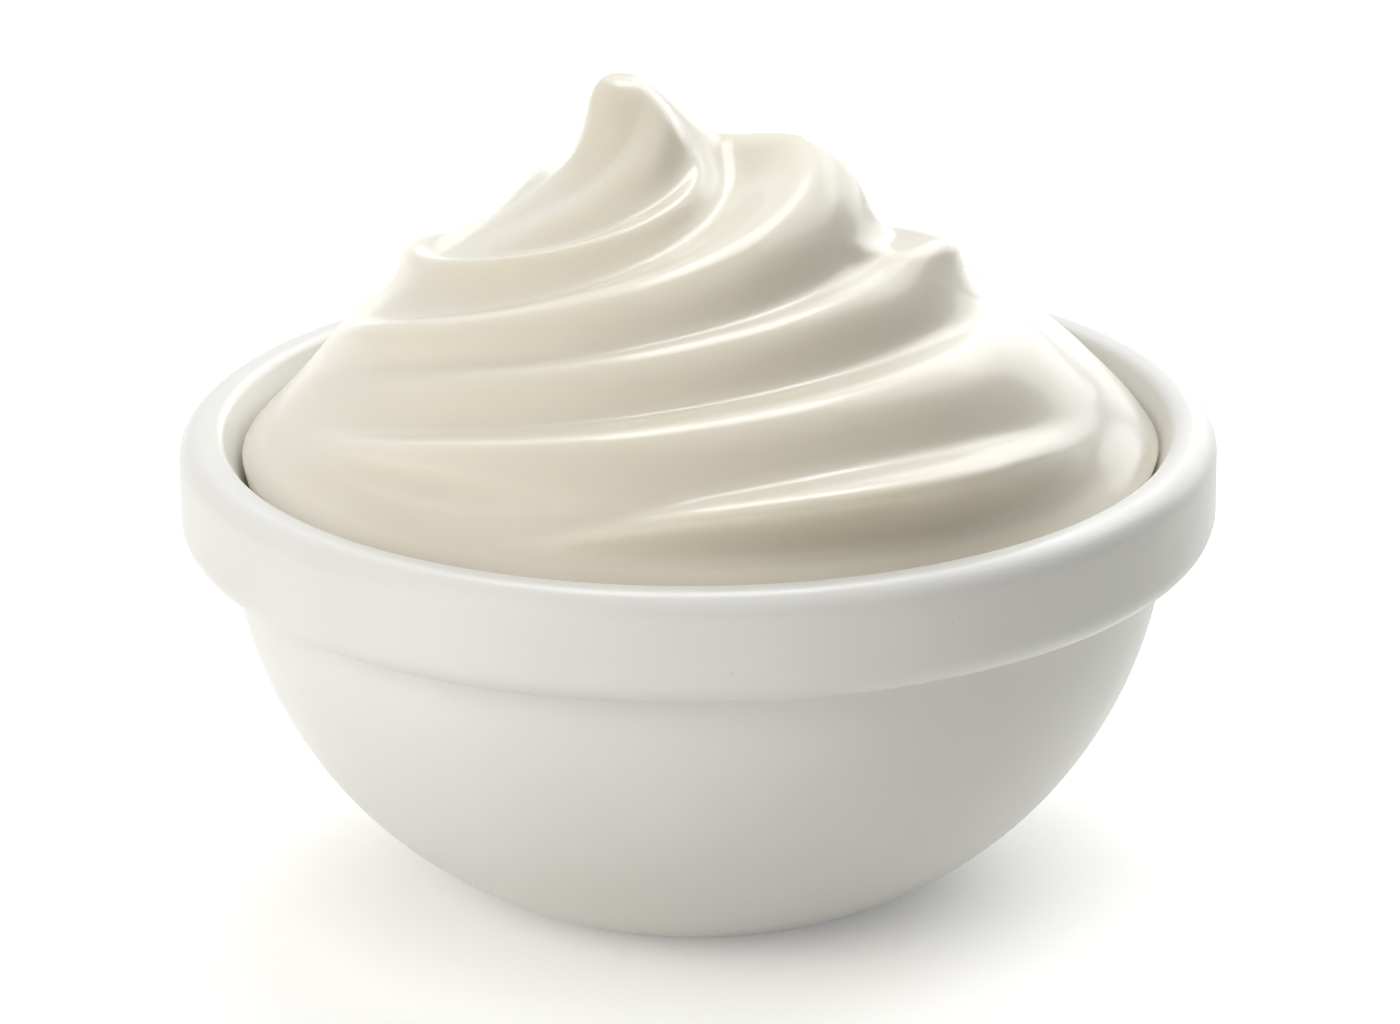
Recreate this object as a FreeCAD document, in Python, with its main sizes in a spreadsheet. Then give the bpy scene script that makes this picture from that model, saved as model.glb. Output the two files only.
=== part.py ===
import FreeCAD, Part
import Sketcher
import math
import os

# Bowl of whipped cream: a banded ceramic bowl filled to just under its lip, and the cream
# heaped in it as a swirled cone with a leaning tip.
#
# Frame: Z up, origin on the bowl's axis at the plane it stands on, +X to the right of the
# side from which the swirl is usually seen, -Y towards that side.  Millimetres, degrees.

Vector = FreeCAD.Vector

# ---------------------------------------------------------------- driving dimensions
BOWL_SIZES = [
    ("rim_radius", 60.0, "outside of the band round the rim"),
    ("bowl_height", 55.2, "stand plane to lip"),
    ("lip_width", 4.8, "wall at the lip"),
    ("lip_outer_round", 3.0, "outer corner of the lip"),
    ("lip_inner_round", 1.6, "inner corner of the lip"),
    ("band_height", 12.5, "height of the band below the lip"),
    ("band_round", 3.4, "lower corner of the band"),
    ("ledge_width", 5.7, "how far the band stands out from the body"),
    ("ledge_drop", 1.0, "fall of the band's underside towards the body"),
    ("ledge_round", 1.4, "fillet where the underside meets the body"),
    ("body_arc", 49.0, "radius of the body's outer curve"),
    ("foot_radius", 23.2, "outside of the foot"),
    ("foot_ring", 3.6, "width of the ring the bowl stands on"),
    ("foot_recess", 1.2, "depth of the recess inside the foot ring"),
    ("foot_draft", 0.8, "taper of the recess's wall"),
    ("wall", 4.2, "thickness of the body"),
    ("floor_height", 5.4, "stand plane to the inside floor"),
    ("flare_height", 39.0, "where the inside starts to flare out to the lip"),
]

CREAM_SIZES = [
    ("cream_gap", 0.15, "clearance between cream and glaze"),
    ("fill_drop", 5.3, "lip to the cream at the wall"),
    ("moat_width", 4.2, "room between the foot of the heap and the inside of the lip"),
    ("heap_height", 46.5, "cream at the wall to the tip"),
    ("heap_fullness", 0.75, "power of the heap's side: 1 is a cone, less is fuller"),
    ("heap_foot_blend", 0.9, "softness of the hollow where the heap meets the level"),
    ("belly", 1.3, "how far the heap's middle stands over towards +X"),
    ("peak_height", 7.2, "part of the heap that is its peak"),
    ("peak_radius", 6.3, "half width of the peak"),
    ("tip_round", 3.4, "rounding of the tip"),
    ("tip_lean", 8.5, "how far the tip leans over, towards -X"),
    ("tip_back", 1.0, "how far the tip leans back, towards +Y"),
    ("lean_share", 0.12, "share of the heap that stands straight below the lean"),
    ("fold_lift", 18, "angle at which a fold swells, above level"),
    ("fold_soften", 0.28, "softness of the crease above a fold"),
]

# Each fold of the swirl climbs anticlockwise, seen from above, under a crease that runs
# from one angle to another.  Heights are shares of the heap's height.  The bow lifts the
# crease's middle.  Depth is how far the fold stands out and deepen how much more of that it
# has at its far end.  Below the crease it stands out within the rise and falls back at the
# width, both given for its near and far end; the edge is how sharply it falls back.  Swell
# and fade are the shares of its length over which it grows and dies away.
FOLD_FIELDS = ["begin", "end", "low", "high", "bow", "depth", "deepen", "near_rise",
               "far_rise", "near_width", "far_width", "edge", "swell", "fade"]
FOLDS = [
    ("outer", [-139, -14, 0.045, 0.208, 0.128, 6.6, 0.3, 0.5, 1.6, 6.9, 10.0, 3.0, 0.46, 0.38]),
    ("middle", [-168, 26, 0.188, 0.42, 0.107, 5.9, -0.06, 0.5, 1.4, 3.6, 10.3, 3.2, 0.37, 0.4]),
    ("upper", [-168, 12, 0.313, 0.607, 0.062, 4.2, 0.8, 0.8, 0.7, 3.5, 6.0, 3.5, 0.22, 0.18]),
    ("shoulder", [150, 376, 0.275, 0.862, 0.05, 7.2, 1.0, 0.6, 0.7, 3.0, 8.8, 4.2, 0.44, 0.16]),
    ("collar", [110, 330, 0.35, 0.87, 0.0, 2.3, -0.5, 0.5, 0.6, 2.8, 2.6, 3.0, 0.28, 0.3]),
    ("crown", [180, 338, 0.61, 1.06, 0.033, 4.6, 0.0, 0.5, 0.5, 6.3, 5.2, 4.0, 0.3, 0.23]),
    ("lap", [-46, 8, 0.625, 0.52, 0.0, 1.6, 0.0, 0.4, 0.4, 2.2, 2.2, 3.5, 0.3, 0.4]),
    ("back_low", [2, 176, 0.09, 0.34, 0.05, 4.5, 0.0, 1.2, 0.8, 7.0, 7.0, 3.0, 0.35, 0.35]),
    ("back_middle", [8, 172, 0.27, 0.52, 0.05, 4.2, 0.0, 1.2, 0.8, 6.0, 6.0, 3.2, 0.35, 0.35]),
    ("back_high", [28, 176, 0.5, 0.74, 0.03, 3.2, 0.0, 1.0, 0.6, 5.0, 5.0, 3.5, 0.35, 0.35]),
]

# How finely the swirl's surface is laid out: rings from tip to wall, and steps round.
RINGS = 64
STEPS = 96
# The rounding and the folds die out over this share of the way in from the heap's foot.
FOOT_SHARE = 0.04
PEAK_POWER = 4
LEAN_POWER = 1.3


def make_sheet(doc):
    """Spreadsheet with one row for each size: name, value and what it is."""
    sheet = doc.addObject("Spreadsheet::Sheet", "sizes")
    rows = BOWL_SIZES + CREAM_SIZES
    for name, values in FOLDS:
        for field, value in zip(FOLD_FIELDS, values):
            rows.append((name + "_" + field, value, field + " of the " + name + " fold"))
    for row, (alias, value, note) in enumerate(rows, start=1):
        sheet.set("A%d" % row, alias)
        sheet.set("B%d" % row, str(value))
        sheet.set("C%d" % row, note)
        sheet.setAlias("B%d" % row, alias)
    doc.recompute()
    return sheet


# ---------------------------------------------------------------- sketching helpers
def origin_plane(body, role):
    for feature in body.Origin.OriginFeatures:
        if feature.Role == role:
            return feature
    raise RuntimeError("no origin feature " + role)


def new_sketch(body, name):
    """Sketch on the body's own XZ plane: its X is the radius, its Y the height."""
    sketch = body.newObject("Sketcher::SketchObject", name)
    sketch.AttachmentSupport = (origin_plane(body, "XZ_Plane"), [""])
    sketch.MapMode = "FlatFace"
    return sketch


def add_line(sketch, start, end):
    return sketch.addGeometry(Part.LineSegment(Vector(*start, 0), Vector(*end, 0)), False)


def add_arc(sketch, centre, start, end, construction=False):
    """Arc that runs anticlockwise from start to end round centre."""
    radius = math.dist(centre, start)
    first = math.atan2(start[1] - centre[1], start[0] - centre[0])
    last = math.atan2(end[1] - centre[1], end[0] - centre[0])
    circle = Part.Circle(Vector(*centre, 0), Vector(0, 0, 1), radius)
    return sketch.addGeometry(Part.ArcOfCircle(circle, first, last), construction)


START, END, CENTRE = 1, 2, 3
ORIGIN = (-1, 1)
LEDGE_TEXT = "sizes.bowl_height - sizes.band_height - sizes.ledge_drop"


def join(sketch, first, first_end, second, second_end):
    sketch.addConstraint(Sketcher.Constraint("Coincident", first, first_end, second, second_end))


def place_x(sketch, geometry, point, value, expression):
    """Distance of a point from the axis, bound to the sheet."""
    index = sketch.addConstraint(
        Sketcher.Constraint("DistanceX", *ORIGIN, geometry, point, value))
    sketch.setExpression("Constraints[%d]" % index, expression)


def place_y(sketch, geometry, point, value, expression):
    """Height of a point above the stand plane, bound to the sheet."""
    index = sketch.addConstraint(
        Sketcher.Constraint("DistanceY", *ORIGIN, geometry, point, value))
    sketch.setExpression("Constraints[%d]" % index, expression)


def set_radius(sketch, geometry, value, expression):
    index = sketch.addConstraint(Sketcher.Constraint("Radius", geometry, value))
    sketch.setExpression("Constraints[%d]" % index, expression)


def arc_centre(start, end, radius):
    """Centre, on the left of the way from start to end, of the arc that joins them."""
    middle = ((start[0] + end[0]) / 2, (start[1] + end[1]) / 2)
    along = (end[0] - start[0], end[1] - start[1])
    length = math.hypot(*along)
    rise = math.sqrt(radius ** 2 - (length / 2) ** 2)
    return (middle[0] - along[1] / length * rise, middle[1] + along[0] / length * rise)


class InsideProfile:
    """First guess of the bowl's section, from which the sketches are drawn and solved."""

    def __init__(self, sheet, gap):
        self.gap = gap
        self.foot = (sheet.foot_radius, 0.0)
        ledge_height = sheet.bowl_height - sheet.band_height
        self.neck = (sheet.rim_radius - sheet.ledge_width, ledge_height - sheet.ledge_drop)
        self.centre = arc_centre(self.foot, self.neck, sheet.body_arc)
        radius = sheet.body_arc - sheet.wall - gap
        self.floor = self.on_arc(radius, sheet.floor_height + gap)
        self.flare = self.on_arc(radius, sheet.flare_height)
        self.lip = (sheet.rim_radius - sheet.lip_width - gap, sheet.bowl_height)
        self.flare_centre = self.tangent_centre()
        self.below_neck = self.on_arc(sheet.body_arc, self.neck[1] - 1.0)
        self.below_lip = self.on_flare(self.lip[1] - 1.0)

    def on_arc(self, radius, height):
        across = math.sqrt(radius ** 2 - (height - self.centre[1]) ** 2)
        return (self.centre[0] + across, height)

    def on_flare(self, height):
        radius = math.dist(self.flare_centre, self.flare)
        across = math.sqrt(radius ** 2 - (height - self.flare_centre[1]) ** 2)
        return (self.flare_centre[0] - across, height)

    def tangent_centre(self):
        """Centre of the arc that leaves the inside at the flare and ends at the lip."""
        outward = (self.flare[0] - self.centre[0], self.flare[1] - self.centre[1])
        length = math.hypot(*outward)
        outward = (outward[0] / length, outward[1] / length)
        chord = (self.lip[0] - self.flare[0], self.lip[1] - self.flare[1])
        towards = outward[0] * chord[0] + outward[1] * chord[1]
        radius = (chord[0] ** 2 + chord[1] ** 2) / (2 * towards)
        return (self.flare[0] + outward[0] * radius, self.flare[1] + outward[1] * radius)


def sketch_inside(sketch, guess, gap_text, body_arc):
    """Floor, inside curve and flare, as wide as the glaze less the gap.

    Returns the floor line and the flare's arc.  The floor line starts on the axis.
    """
    floor = add_line(sketch, (0.0, guess.floor[1]), guess.floor)
    inside = add_arc(sketch, guess.centre, guess.floor, guess.flare)
    flare = add_arc(sketch, guess.flare_centre, guess.lip, guess.flare)
    sketch.addConstraint(Sketcher.Constraint("Horizontal", floor))
    sketch.addConstraint(Sketcher.Constraint("PointOnObject", floor, START, -2))
    join(sketch, floor, END, inside, START)
    join(sketch, inside, CENTRE, body_arc, CENTRE)
    sketch.addConstraint(Sketcher.Constraint("Tangent", inside, END, flare, END))
    radius = math.dist(guess.centre, guess.floor)
    set_radius(sketch, inside, radius, "sizes.body_arc - sizes.wall" + gap_text)
    place_y(sketch, floor, END, guess.floor[1], "sizes.floor_height" + gap_text.replace("-", "+"))
    place_y(sketch, inside, END, guess.flare[1], "sizes.flare_height")
    return floor, flare


def sketch_body_arc(sketch, guess, construction):
    """Outer curve of the body, from the foot up to the underside of the band."""
    arc = add_arc(sketch, guess.centre, guess.foot, guess.neck, construction)
    set_radius(sketch, arc, math.dist(guess.centre, guess.foot), "sizes.body_arc")
    place_x(sketch, arc, START, guess.foot[0], "sizes.foot_radius")
    sketch.addConstraint(Sketcher.Constraint("PointOnObject", arc, START, -1))
    return arc


def revolve(body, sketch, name):
    feature = body.newObject("PartDesign::Revolution", name)
    feature.Profile = sketch
    feature.ReferenceAxis = (sketch, ["V_Axis"])
    feature.Angle = 360.0
    sketch.Visibility = False
    return feature


def unit(start, end):
    length = math.dist(start, end)
    return ((end[0] - start[0]) / length, (end[1] - start[1]) / length)


def round_corner(sketch, corner, first, second, radius, expression):
    """Arc tangent to two curves in place of the corner between them.

    Each curve is given as (geometry, its end at the corner, a point on along it).
    """
    towards = [unit(corner, curve[2]) for curve in (first, second)]
    half = math.acos(towards[0][0] * towards[1][0] + towards[0][1] * towards[1][1]) / 2
    along = unit((0.0, 0.0), (towards[0][0] + towards[1][0], towards[0][1] + towards[1][1]))
    centre = tuple(c + a * radius / math.sin(half) for c, a in zip(corner, along))
    touch = [tuple(c + t * radius / math.tan(half) for c, t in zip(corner, toward))
             for toward in towards]
    turn = ((touch[0][0] - centre[0]) * (touch[1][1] - centre[1])
            - (touch[0][1] - centre[1]) * (touch[1][0] - centre[0]))
    ends = (START, END) if turn > 0.0 else (END, START)
    arc = add_arc(sketch, centre, touch[ends.index(START)], touch[ends.index(END)])
    for curve, arc_end in zip((first, second), ends):
        sketch.addConstraint(Sketcher.Constraint("Tangent", curve[0], curve[1], arc, arc_end))
    set_radius(sketch, arc, radius, expression)


def corner_point(sketch, corner, across, up, curves):
    """Sharp corner that a rounding replaces: a point held by the sheet, on both curves."""
    point = sketch.addGeometry(Part.Point(Vector(*corner, 0)), True)
    place_x(sketch, point, START, corner[0], across)
    place_y(sketch, point, START, corner[1], up)
    for curve in curves:
        sketch.addConstraint(Sketcher.Constraint("PointOnObject", point, START, curve))


# ---------------------------------------------------------------- the bowl
def make_bowl(doc, sheet):
    """Turned bowl: foot ring, round body, overhanging band and rounded lip."""
    body = doc.addObject("PartDesign::Body", "bowl")
    sketch = new_sketch(body, "bowl_section")
    guess = InsideProfile(sheet, 0.0)
    rim, height = sheet.rim_radius, sheet.bowl_height
    band_foot = height - sheet.band_height
    ring_inside = sheet.foot_radius - sheet.foot_ring
    recess_edge = (ring_inside - sheet.foot_draft, sheet.foot_recess)

    arc = sketch_body_arc(sketch, guess, False)
    floor, flare = sketch_inside(sketch, guess, "", arc)
    under = add_line(sketch, guess.neck, (rim, band_foot))
    band = add_line(sketch, (rim, band_foot), (rim, height))
    lip = add_line(sketch, (rim, height), guess.lip)
    axis = add_line(sketch, (0.0, guess.floor[1]), (0.0, sheet.foot_recess))
    recess = add_line(sketch, (0.0, sheet.foot_recess), recess_edge)
    draft = add_line(sketch, recess_edge, (ring_inside, 0.0))
    ring = add_line(sketch, (ring_inside, 0.0), guess.foot)

    join(sketch, floor, START, axis, START)
    join(sketch, axis, END, recess, START)
    join(sketch, recess, END, draft, START)
    join(sketch, draft, END, ring, START)
    join(sketch, ring, END, arc, START)
    sketch.addConstraint(Sketcher.Constraint("Vertical", axis))
    sketch.addConstraint(Sketcher.Constraint("Horizontal", recess))
    sketch.addConstraint(Sketcher.Constraint("Horizontal", ring))
    corner_point(sketch, guess.neck, "sizes.rim_radius - sizes.ledge_width",
                 LEDGE_TEXT, (arc, under))
    corner_point(sketch, (rim, band_foot), "sizes.rim_radius",
                 "sizes.bowl_height - sizes.band_height", (under, band))
    corner_point(sketch, (rim, height), "sizes.rim_radius", "sizes.bowl_height", (band, lip))
    corner_point(sketch, guess.lip, "sizes.rim_radius - sizes.lip_width",
                 "sizes.bowl_height", (lip, flare))
    place_y(sketch, recess, END, sheet.foot_recess, "sizes.foot_recess")
    place_x(sketch, draft, END, ring_inside, "sizes.foot_radius - sizes.foot_ring")
    place_x(sketch, recess, END, recess_edge[0],
            "sizes.foot_radius - sizes.foot_ring - sizes.foot_draft")

    round_corner(sketch, guess.neck, (arc, END, guess.below_neck), (under, START, (rim, band_foot)),
                 sheet.ledge_round, "sizes.ledge_round")
    round_corner(sketch, (rim, band_foot), (under, END, guess.neck), (band, START, (rim, height)),
                 sheet.band_round, "sizes.band_round")
    round_corner(sketch, (rim, height), (band, END, (rim, band_foot)), (lip, START, guess.lip),
                 sheet.lip_outer_round, "sizes.lip_outer_round")
    round_corner(sketch, guess.lip, (lip, END, (rim, height)), (flare, START, guess.below_lip),
                 sheet.lip_inner_round, "sizes.lip_inner_round")
    revolve(body, sketch, "bowl_turned")
    doc.recompute()
    return body


# ---------------------------------------------------------------- the cream
def smooth(share):
    """Eased step: 0 up to 0, 1 from 1 on."""
    share = min(1.0, max(0.0, share))
    return share * share * (3.0 - 2.0 * share)


def soft_positive(value, softness):
    """The value where it is positive and nearly 0 elsewhere, without a corner."""
    return (value + math.hypot(value, 2.0 * softness)) / 2.0


def between(near, far, share):
    return near + (far - near) * share


class Swirl:
    """Surface of the heaped cream, as a rule of the way out from its axis and the angle."""

    def __init__(self, sheet):
        self.sheet = sheet
        self.level = sheet.bowl_height - sheet.fill_drop
        self.foot = sheet.rim_radius - sheet.lip_width - sheet.moat_width
        self.edge = sheet.rim_radius - sheet.lip_width / 2
        self.folds = [self.read_fold(name) for name, values in FOLDS]

    def read_fold(self, name):
        return {field: getattr(self.sheet, name + "_" + field) for field in FOLD_FIELDS}

    def side(self, out):
        """Height of the plain heap above the level."""
        sheet = self.sheet
        blend = sheet.heap_foot_blend
        rounded = math.hypot(out, sheet.tip_round) - sheet.tip_round
        share = max(0.0, 1.0 - rounded / self.foot)
        body = (sheet.heap_height - sheet.peak_height) * share ** sheet.heap_fullness
        peak = sheet.peak_height / (1.0 + (out / sheet.peak_radius) ** PEAK_POWER)
        return math.log1p(math.exp((body + peak) / blend)) * blend

    def standing_out(self, fold, share, height):
        """How far one fold stands out at a share of its length and a height above the level."""
        rise = between(fold["low"], fold["high"], share) + fold["bow"] * math.sin(math.pi * share)
        below = soft_positive(rise * self.sheet.heap_height - height, self.sheet.fold_soften)
        width = between(fold["near_width"], fold["far_width"], share)
        form = 1.0 - math.exp(-below / between(fold["near_rise"], fold["far_rise"], share))
        form /= 1.0 + (below / width) ** fold["edge"]
        ends = smooth(share / fold["swell"]) * smooth((1.0 - share) / fold["fade"])
        return fold["depth"] * (1.0 + fold["deepen"] * (share - 0.5)) * ends * form

    def swelling(self, height, angle):
        """How far all folds together stand out at that height and angle."""
        total = 0.0
        for fold in self.folds:
            for turn in (-360.0, 0.0, 360.0):
                share = (angle + turn - fold["begin"]) / (fold["end"] - fold["begin"])
                if 0.0 < share < 1.0:
                    total += self.standing_out(fold, share, height)
        return total

    def shift(self, share):
        """How far the heap stands aside of its foot, at a share of its height."""
        sheet = self.sheet
        leaning = max(0.0, (share - sheet.lean_share) / (1.0 - sheet.lean_share)) ** LEAN_POWER
        belly = sheet.belly * 4.0 * share * (1.0 - share)
        return belly - sheet.tip_lean * leaning, sheet.tip_back * leaning

    def point(self, out, angle):
        """Point of the surface that lies out from the axis at that angle."""
        sheet = self.sheet
        height = self.side(out)
        inner = smooth(out / (sheet.peak_radius + sheet.tip_round))
        outer = 1.0 - smooth((out / self.foot - 1.0) / FOOT_SHARE + 1.0)
        swell = self.swelling(height, angle) * inner * outer
        lift = math.radians(sheet.fold_lift)
        aside, back = self.shift(height / sheet.heap_height)
        radius = out + swell * math.cos(lift)
        turn = math.radians(angle)
        return Vector(radius * math.cos(turn) + aside,
                      radius * math.sin(turn) + back,
                      self.level + height + swell * math.sin(lift))

    def surface(self):
        """Smooth surface laid over rings of points, closed round and shut at the tip."""
        poles = []
        for ring in range(RINGS):
            out = self.edge * ring / (RINGS - 1)
            poles.append([self.point(out, 360.0 * step / STEPS) for step in range(STEPS)])
        degree = 3
        inner_knots = RINGS - degree - 1
        ring_knots = [float(knot) for knot in range(inner_knots + 2)]
        ring_mults = [degree + 1] + [1] * inner_knots + [degree + 1]
        step_knots = [float(knot) for knot in range(STEPS + 1)]
        step_mults = [1] * (STEPS + 1)
        surface = Part.BSplineSurface()
        surface.buildFromPolesMultsKnots(poles, ring_mults, step_mults, ring_knots, step_knots,
                                         False, True, degree, degree)
        return surface

    def solid(self):
        """The swirl closed off below by a straight skirt and a flat base."""
        top = self.surface().toShape()
        rims = [edge for edge in top.Edges
                if not edge.Degenerated and edge.BoundBox.ZLength < 1.0]
        rim = rims[0]
        skirt = rim.extrude(Vector(0.0, 0.0, -self.level))
        base_edge = rim.translated(Vector(0.0, 0.0, -self.level))
        base = Part.Face(Part.Wire([base_edge]))
        shell = Part.makeShell([top] + skirt.Faces + [base])
        shell.sewShape()
        solid = Part.makeSolid(shell)
        if solid.Volume < 0.0:
            solid.reverse()
        return solid


def make_basin(doc, sheet):
    """Room inside the bowl, less the clearance, carried up past the tip of the heap."""
    body = doc.addObject("PartDesign::Body", "basin")
    sketch = new_sketch(body, "basin_section")
    guess = InsideProfile(sheet, sheet.cream_gap)
    top = sheet.bowl_height + sheet.heap_height
    arc = sketch_body_arc(sketch, guess, True)
    place_x(sketch, arc, END, guess.neck[0], "sizes.rim_radius - sizes.ledge_width")
    place_y(sketch, arc, END, guess.neck[1], LEDGE_TEXT)
    floor, flare = sketch_inside(sketch, guess, " - sizes.cream_gap", arc)
    place_x(sketch, flare, START, guess.lip[0],
            "sizes.rim_radius - sizes.lip_width - sizes.cream_gap")
    place_y(sketch, flare, START, guess.lip[1], "sizes.bowl_height")
    side = add_line(sketch, guess.lip, (guess.lip[0], top))
    lid = add_line(sketch, (guess.lip[0], top), (0.0, top))
    axis = add_line(sketch, (0.0, top), (0.0, guess.floor[1]))
    join(sketch, flare, START, side, START)
    join(sketch, side, END, lid, START)
    join(sketch, lid, END, axis, START)
    join(sketch, axis, END, floor, START)
    sketch.addConstraint(Sketcher.Constraint("Vertical", side))
    sketch.addConstraint(Sketcher.Constraint("Horizontal", lid))
    sketch.addConstraint(Sketcher.Constraint("PointOnObject", lid, END, -2))
    place_y(sketch, side, END, top, "sizes.bowl_height + sizes.heap_height")
    revolve(body, sketch, "basin_turned")
    doc.recompute()
    return body


def make_cream(doc, sheet):
    """Cream: the swirled heap, cut to the room inside the bowl."""
    heap = doc.addObject("Part::Feature", "heap")
    heap.Shape = Swirl(sheet).solid()
    basin = make_basin(doc, sheet)
    cream = doc.addObject("Part::Common", "cream")
    cream.Base = heap
    cream.Tool = basin
    doc.recompute()
    return cream


# ---------------------------------------------------------------- build and write
def check(doc, nodes):
    for item in doc.Objects:
        if "Invalid" in item.State or "Error" in item.State:
            raise RuntimeError(item.Name + " did not build: " + str(item.State))
    for node in nodes:
        shape = node.Shape
        if shape.isNull() or not shape.isValid() or len(shape.Solids) != 1:
            raise RuntimeError(node.Label + " is not one valid solid")
        box = shape.BoundBox
        print("%-6s %9.0f mm3  x %.1f..%.1f  y %.1f..%.1f  z %.1f..%.1f" % (
            node.Label, shape.Volume, box.XMin, box.XMax, box.YMin, box.YMax, box.ZMin, box.ZMax))


def main():
    doc = FreeCAD.newDocument("bowl_of_whipped_cream")
    sheet = make_sheet(doc)
    nodes = [make_bowl(doc, sheet), make_cream(doc, sheet)]
    check(doc, nodes)
    os.makedirs("parts", exist_ok=True)
    for node in nodes:
        node.Shape.exportStep(os.path.join("parts", node.Label + ".step"))


main()
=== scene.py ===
import math

import bmesh
import bpy
from mathutils import Matrix, Vector


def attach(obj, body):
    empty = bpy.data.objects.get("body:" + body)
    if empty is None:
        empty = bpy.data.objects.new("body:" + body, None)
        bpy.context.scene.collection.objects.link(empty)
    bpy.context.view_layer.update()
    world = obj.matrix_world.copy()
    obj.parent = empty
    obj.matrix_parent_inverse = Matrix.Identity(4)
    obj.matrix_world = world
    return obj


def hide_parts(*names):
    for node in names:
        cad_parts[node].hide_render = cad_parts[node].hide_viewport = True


# Bowl of whipped cream: a glazed bowl turned from one section, and the swirled heap of cream
# worked out by a node tree from the sizes below.  Metres; the sizes are in millimetres.

MM = 0.001
DEGREE = math.pi / 180.0
FULL_TURN = 360.0

BOWL = {
    "rim_radius": 60.0,
    "bowl_height": 55.2,
    "lip_width": 4.8,
    "lip_outer_round": 3.0,
    "lip_inner_round": 1.6,
    "band_height": 12.5,
    "band_round": 3.4,
    "ledge_width": 5.7,
    "ledge_drop": 1.0,
    "ledge_round": 1.4,
    "body_arc": 49.0,
    "foot_radius": 23.2,
    "foot_ring": 3.6,
    "foot_recess": 1.2,
    "foot_draft": 0.8,
    "wall": 4.2,
    "floor_height": 5.4,
    "flare_height": 39.0,
}

CREAM = {
    "Level": 49.9,
    "Foot radius": 51.0,
    "Wall radius": 53.0,
    "Heap height": 46.5,
    "Heap fullness": 0.75,
    "Foot blend": 0.9,
    "Belly": 1.3,
    "Peak height": 7.2,
    "Peak radius": 6.3,
    "Tip rounding": 3.4,
    "Tip lean": 8.5,
    "Tip back": 1.0,
    "Lean starts": 0.12,
    "Crease softness": 0.28,
}
CREAM_GAP = 0.15
PEAK_POWER = 4.0
LEAN_POWER = 1.3

# Each fold climbs round the heap under a crease.  Its sizes are, in degrees, millimetres and
# shares: begin and end angle, low and high end as shares of the heap, bow of the crease's
# middle, depth, how much deeper it gets towards its end, rise and width below the crease at
# its near and far end, how sharply it falls back at that width, the shares of its length over
# which it swells and fades, and its lift, the angle above level at which it swells.
FOLDS = {
    "outer": (-139, -14, 0.045, 0.208, 0.128, 6.6, 0.3, 0.5, 1.6, 9.0,
              12.0, 2.0, 0.28, 0.38, 18.0),
    "middle": (-168, 26, 0.188, 0.42, 0.107, 5.9, -0.06, 0.5, 1.4, 3.6,
               10.3, 3.2, 0.24, 0.4, 30.0),
    "upper": (-168, 12, 0.313, 0.607, 0.062, 4.2, 0.8, 0.8, 0.7, 3.5, 6.0, 3.5, 0.22, 0.18, 30.0),
    "shoulder": (150, 376, 0.275, 0.862, 0.05, 7.2, 1.0, 0.6, 0.7, 3.0, 8.8, 4.2, 0.3, 0.16, 33.0),
    "collar": (110, 330, 0.35, 0.87, 0.0, 3.1, -0.5, 0.5, 0.6, 2.8, 2.6, 3.0, 0.28, 0.3, 58.0),
    "crown": (180, 338, 0.61, 1.06, 0.033, 3.2, 0.0, 3.0, 1.5, 6.3, 5.2, 4.0, 0.3, 0.23, 18.0),
    "lap": (-46, 8, 0.625, 0.52, 0.0, 1.6, 0.0, 0.4, 0.4, 2.2, 2.2, 3.5, 0.3, 0.4, 18.0),
    "back_low": (2, 176, 0.09, 0.34, 0.05, 4.5, 0.0, 1.2, 0.8, 7.0, 7.0, 3.0, 0.35, 0.35, 18.0),
    "back_middle": (8, 172, 0.27, 0.52, 0.05, 4.2, 0.0, 1.2, 0.8, 6.0, 6.0, 3.2, 0.35, 0.35, 18.0),
    "back_high": (28, 176, 0.5, 0.74, 0.03, 3.2, 0.0, 1.0, 0.6, 5.0, 5.0, 3.5, 0.35, 0.35, 18.0),
}
FOLD_INPUTS = ("Height", "Angle", "Heap height", "Crease softness")
FOLD_OUTPUTS = ("Outward", "Upward", "Painted shade")
FOLD_SIZES = ("Begin", "End", "Low end", "High end", "Bow", "Depth", "Deepen", "Near rise",
              "Far rise", "Near width", "Far width", "Edge", "Swell", "Fade", "Lift")
# The painted shade over a crease, a darker and yellower tint in place of the shade that falls
# there, is strongest this far above it, weakens over this reach, and is full where the fold is
# this deep.  Millimetres.
PAINTED_SHADE_RISE = 1.5
PAINTED_SHADE_REACH = 3.0
PAINTED_SHADE_DEPTH = 5.2
# The folds die out over this share of the way in from the heap's foot.
FOOT_SHARE = 0.12
# How finely the heap is laid out: rings from tip to wall, steps round it, and the distance
# in metres within which the two sides of its seam are joined.
RINGS = 310
STEPS = 290
SEAM = 0.00001
# Rings of the cream below its level: down the flare, then down the body.
FLARE_RINGS = 6
BODY_RINGS = 6


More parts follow.
